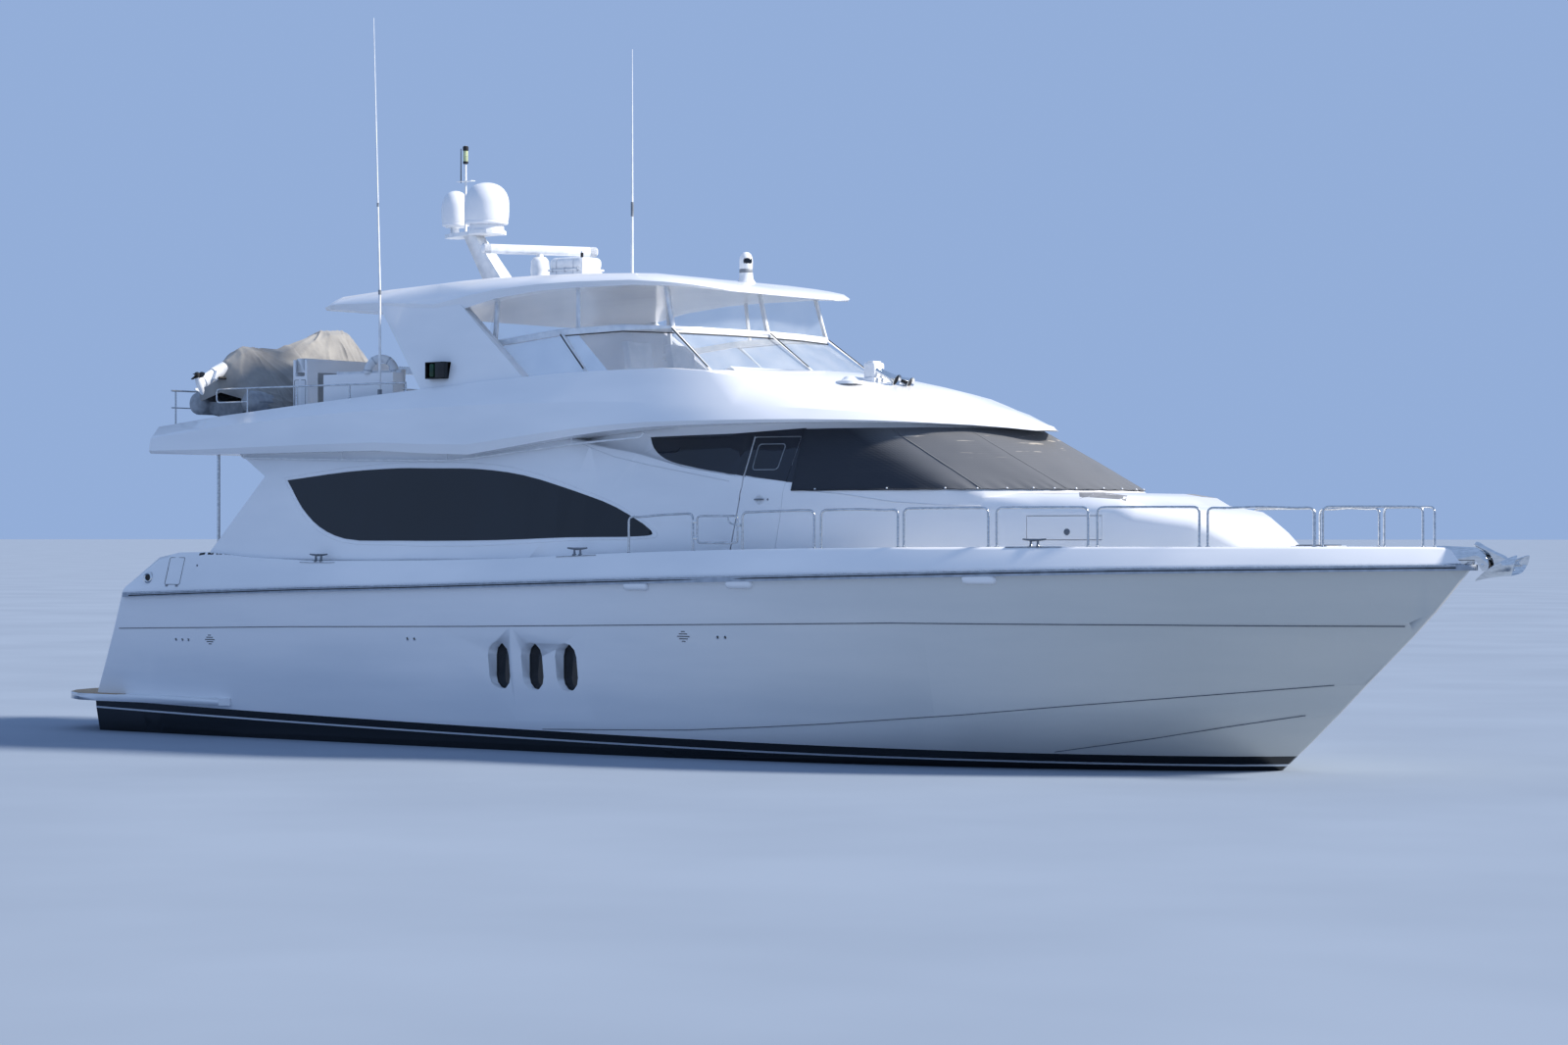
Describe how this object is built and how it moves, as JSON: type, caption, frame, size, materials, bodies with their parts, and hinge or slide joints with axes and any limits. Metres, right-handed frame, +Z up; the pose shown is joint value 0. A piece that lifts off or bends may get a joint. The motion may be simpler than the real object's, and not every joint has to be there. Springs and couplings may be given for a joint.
{
  "type": "motor yacht",
  "caption": "Flybridge motor yacht afloat, with a hardtop, covered windscreen, stowed tender and davit, and working propellers, rudders, doors, gates and radar.",
  "frame": {"origin": "on the waterline plane at the centreline, amidships", "axes": "+X towards the bow, +Y towards port, +Z up"},
  "size_m": [24.94, 6.49, 12.5301],
  "materials": {
    "antifouling": "matt",
    "bronze": "satin",
    "canvas": "matt",
    "darkGlass": "gloss",
    "fender": "satin",
    "gelcoat": "gloss",
    "mesh": "matt",
    "steel": "polished",
    "teak": "matt"
  },
  "bodies": {
    "hull": {"keel": "antifouling", "hull": "gelcoat", "hull_topsides": "gelcoat", "hull_stern": "gelcoat", "deck_moulding": "gelcoat", "main_deck": "teak", "transom_seat": "gelcoat", "rub_rail": "fender", "swim_platform": "teak", "deckhouse": "gelcoat", "saloon_window_starboard": "darkGlass", "pilothouse_window_starboard": "darkGlass", "saloon_window_port": "darkGlass", "pilothouse_window_port": "darkGlass", "windscreen": "darkGlass", "windscreen_cover": "mesh", "flybridge": "gelcoat", "saloon_door_pane": "darkGlass", "overhang_pole_starboard": "steel", "overhang_pole_port": "steel", "hardtop": "gelcoat", "arch_leg_starboard": "gelcoat", "arch_leg_port": "gelcoat", "flybridge_windscreen": "darkGlass", "flybridge_frame": "gelcoat", "helm_console": "gelcoat", "flybridge_settee": "gelcoat", "mast": "gelcoat", "dome_large": "gelcoat", "dome_small": "gelcoat", "liferaft": "gelcoat", "thermal_camera": "gelcoat", "whip_aft": "gelcoat", "whip_fore": "gelcoat", "side_rail_starboard": "steel", "side_rail_port": "steel", "boat_deck_rail": "steel", "davit_column": "gelcoat", "tender": "canvas", "tender_outboard": "gelcoat", "shaft_starboard": "bronze", "shaft_port": "bronze", "anchor_roller": "steel", "windlass": "steel"},
    "propeller_starboard": {"propeller_starboard": "bronze"},
    "rudder_starboard": {"rudder_starboard": "bronze"},
    "side_door_starboard": {"side_door_starboard": "gelcoat"},
    "rail_gate_starboard": {"rail_gate_starboard": "steel"},
    "transom_gate_starboard": {"transom_gate_starboard": "gelcoat"},
    "locker_lid_starboard": {"locker_lid_starboard": "gelcoat"},
    "propeller_port": {"propeller_port": "bronze"},
    "rudder_port": {"rudder_port": "bronze"},
    "side_door_port": {"side_door_port": "gelcoat"},
    "rail_gate_port": {"rail_gate_port": "steel"},
    "transom_gate_port": {"transom_gate_port": "gelcoat"},
    "locker_lid_port": {"locker_lid_port": "gelcoat"},
    "saloon_door": {"saloon_door": "darkGlass"},
    "radar_scanner": {"radar_scanner": "gelcoat"},
    "davit_boom": {"davit_boom": "gelcoat"},
    "davit_extension": {"davit_extension": "steel"}
  },
  "joints": [
    {"name": "propeller_starboard_turn", "type": "hinge", "parent": "hull", "child": "propeller_starboard", "pos_m": [-8.46, -1.25, -1.06], "axis": [0.9874, 0, 0.158], "continuous": true},
    {"name": "rudder_starboard_steer", "type": "hinge", "parent": "hull", "child": "rudder_starboard", "pos_m": [-9.42, -1.25, -1], "axis": [0, 0, 1], "range_deg": [-35, 35]},
    {"name": "side_door_starboard_hinge", "type": "hinge", "parent": "hull", "child": "side_door_starboard", "pos_m": [2.773, -2.433, 2.628], "axis": [-0.1244, -0.1882, -0.9742], "range_deg": [0, 75]},
    {"name": "rail_gate_starboard_hinge", "type": "hinge", "parent": "hull", "child": "rail_gate_starboard", "pos_m": [1.79, -2.9302, 3], "axis": [0, 0, -1], "range_deg": [0, 90]},
    {"name": "transom_gate_starboard_hinge", "type": "hinge", "parent": "hull", "child": "transom_gate_starboard", "pos_m": [-9.162, -1.735, 2.4], "axis": [0, 0, 1], "range_deg": [0, 90]},
    {"name": "locker_lid_starboard_hinge", "type": "hinge", "parent": "hull", "child": "locker_lid_starboard", "pos_m": [6.5, -1.748, 3.376], "axis": [-0.9818, -0.1897, 0], "range_deg": [0, 90]},
    {"name": "propeller_port_turn", "type": "hinge", "parent": "hull", "child": "propeller_port", "pos_m": [-8.46, 1.25, -1.06], "axis": [0.9874, 0, 0.158], "continuous": true},
    {"name": "rudder_port_steer", "type": "hinge", "parent": "hull", "child": "rudder_port", "pos_m": [-9.42, 1.25, -1], "axis": [0, 0, 1], "range_deg": [-35, 35]},
    {"name": "side_door_port_hinge", "type": "hinge", "parent": "hull", "child": "side_door_port", "pos_m": [2.773, 2.433, 2.628], "axis": [0.1244, -0.1882, 0.9742], "range_deg": [0, 75]},
    {"name": "rail_gate_port_hinge", "type": "hinge", "parent": "hull", "child": "rail_gate_port", "pos_m": [1.79, 2.9302, 3], "axis": [0, 0, 1], "range_deg": [0, 90]},
    {"name": "transom_gate_port_hinge", "type": "hinge", "parent": "hull", "child": "transom_gate_port", "pos_m": [-9.162, 1.735, 2.4], "axis": [0, 0, -1], "range_deg": [0, 90]},
    {"name": "locker_lid_port_hinge", "type": "hinge", "parent": "hull", "child": "locker_lid_port", "pos_m": [6.5, 1.748, 3.376], "axis": [0.9818, -0.1897, 0], "range_deg": [0, 90]},
    {"name": "saloon_door_slide", "type": "slide", "parent": "hull", "child": "saloon_door", "axis": [0, 1, 0], "range_m": [0, 0.87]},
    {"name": "radar_scanner_turn", "type": "hinge", "parent": "hull", "child": "radar_scanner", "pos_m": [-3.63, 0, 7.5], "axis": [0, 0, 1], "continuous": true},
    {"name": "davit_boom_luff", "type": "hinge", "parent": "hull", "child": "davit_boom", "pos_m": [-6.97, -1.75, 5.78], "axis": [1, 0, 0], "range_deg": [0, 50]},
    {"name": "davit_extension_slide", "type": "slide", "parent": "davit_boom", "child": "davit_extension", "axis": [0, 1, 0], "range_m": [0, 0.9]}
  ],
  "couplings": [
    {"joint": "rudder_port_steer", "follows": "rudder_starboard_steer", "ratio": 1}
  ]
}
